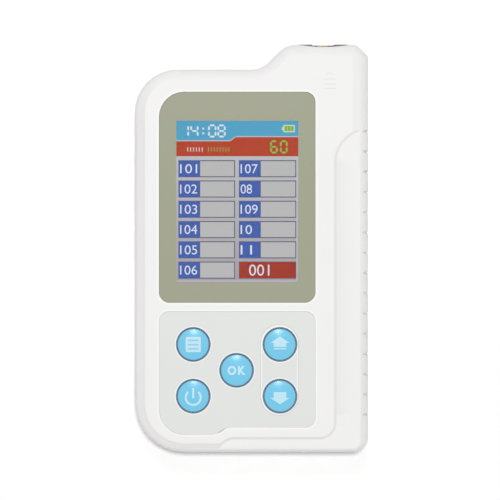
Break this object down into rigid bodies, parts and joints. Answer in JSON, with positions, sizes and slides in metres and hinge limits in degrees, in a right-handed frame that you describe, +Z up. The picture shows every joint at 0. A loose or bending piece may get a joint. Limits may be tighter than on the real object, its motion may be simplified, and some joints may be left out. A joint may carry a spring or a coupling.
{
  "type": "urine analyzer",
  "caption": "Handheld urine test strip reader with a colour screen, a round-key keypad, and a tray that slides out of a raised corner tower.",
  "frame": {"origin": "bottom centre of the bounding box, in the plane of the rubber feet", "axes": "+Z up out of the screen, +Y towards the tray's mouth, +X towards the grip side"},
  "size_m": [0.0726, 0.1274, 0.0308],
  "materials": {
    "case": "fine satin moulded white",
    "lens": "clear window with a grey-green printed border",
    "keypad_film": "satin silver-grey printed film",
    "key_cap": "glossy domed light blue",
    "display": "display glass",
    "grey_plastic": "plain moulded grey",
    "board": "green board laminate",
    "steel": "plain steel",
    "black_plastic": "matt black",
    "brass": "machined brass",
    "tray": "tan moulded plastic",
    "reference": "matt white",
    "sensor": "dark sensor window",
    "battery": "shrink-wrapped pouch",
    "flex_film": "amber flexible circuit",
    "lamp_resin": "clear milky lamp resin",
    "lead_cover": "red lead cover",
    "rubber": "black rubber"
  },
  "bodies": {
    "housing": {"front_shell": "case", "rear_shell": "case", "screen_lens": "lens", "display_panel": "display", "backlight_frame": "grey_plastic", "keypad_overlay": "keypad_film", "menu_snap": "steel", "up_snap": "steel", "ok_snap": "steel", "power_snap": "steel", "down_snap": "steel", "main_board": "board", "charging_socket": "steel", "buzzer": "black_plastic", "tray_guide": "grey_plastic", "gear_motor": "steel", "motor_end_cap": "black_plastic", "optical_head": "black_plastic", "sensor_board": "board", "light_detector": "sensor", "lamp_1": "lamp_resin", "lamp_2": "lamp_resin", "display_flex": "flex_film", "flex_connector": "black_plastic", "processor": "black_plastic", "battery_pack": "battery", "battery_plug": "reference", "battery_lead": "lead_cover", "case_screw_1": "steel", "case_screw_2": "steel", "case_screw_3": "steel", "case_screw_4": "steel", "board_screw_1": "steel", "board_screw_2": "steel", "board_screw_3": "steel", "board_screw_4": "steel", "guide_screw_1": "steel", "guide_screw_2": "steel", "rubber_foot_1": "rubber", "rubber_foot_2": "rubber", "rubber_foot_3": "rubber", "rubber_foot_4": "rubber"},
    "tray": {"strip_tray": "tray", "reference_pad": "reference"},
    "pinion": {"drive_pinion": "brass", "drive_shaft": "steel"},
    "menu_button": {"menu_key": "key_cap"},
    "up_button": {"up_key": "key_cap"},
    "ok_button": {"ok_key": "key_cap"},
    "power_button": {"power_key": "key_cap"},
    "down_button": {"down_key": "key_cap"}
  },
  "joints": [
    {"name": "tray_slide", "type": "slide", "parent": "housing", "child": "tray", "axis": [0, 1, 0], "range_m": [0, 0.07]},
    {"name": "pinion_spin", "type": "hinge", "parent": "housing", "child": "pinion", "pos_m": [0.0225, 0.026, 0.00855], "axis": [-1, 0, 0], "range_deg": [0, 1120]},
    {"name": "menu_press", "type": "slide", "parent": "housing", "child": "menu_button", "axis": [0, 0, -1], "range_m": [0, 0.0005], "stiffness_N_per_m": 2000, "deforming": ["menu_snap"]},
    {"name": "up_press", "type": "slide", "parent": "housing", "child": "up_button", "axis": [0, 0, -1], "range_m": [0, 0.0005], "stiffness_N_per_m": 2000, "deforming": ["up_snap"]},
    {"name": "ok_press", "type": "slide", "parent": "housing", "child": "ok_button", "axis": [0, 0, -1], "range_m": [0, 0.0005], "stiffness_N_per_m": 2000, "deforming": ["ok_snap"]},
    {"name": "power_press", "type": "slide", "parent": "housing", "child": "power_button", "axis": [0, 0, -1], "range_m": [0, 0.0005], "stiffness_N_per_m": 2000, "deforming": ["power_snap"]},
    {"name": "down_press", "type": "slide", "parent": "housing", "child": "down_button", "axis": [0, 0, -1], "range_m": [0, 0.0005], "stiffness_N_per_m": 2000, "deforming": ["down_snap"]}
  ],
  "couplings": [
    {"joint": "pinion_spin", "follows": "tray_slide", "rad_per_m": 277.78}
  ]
}
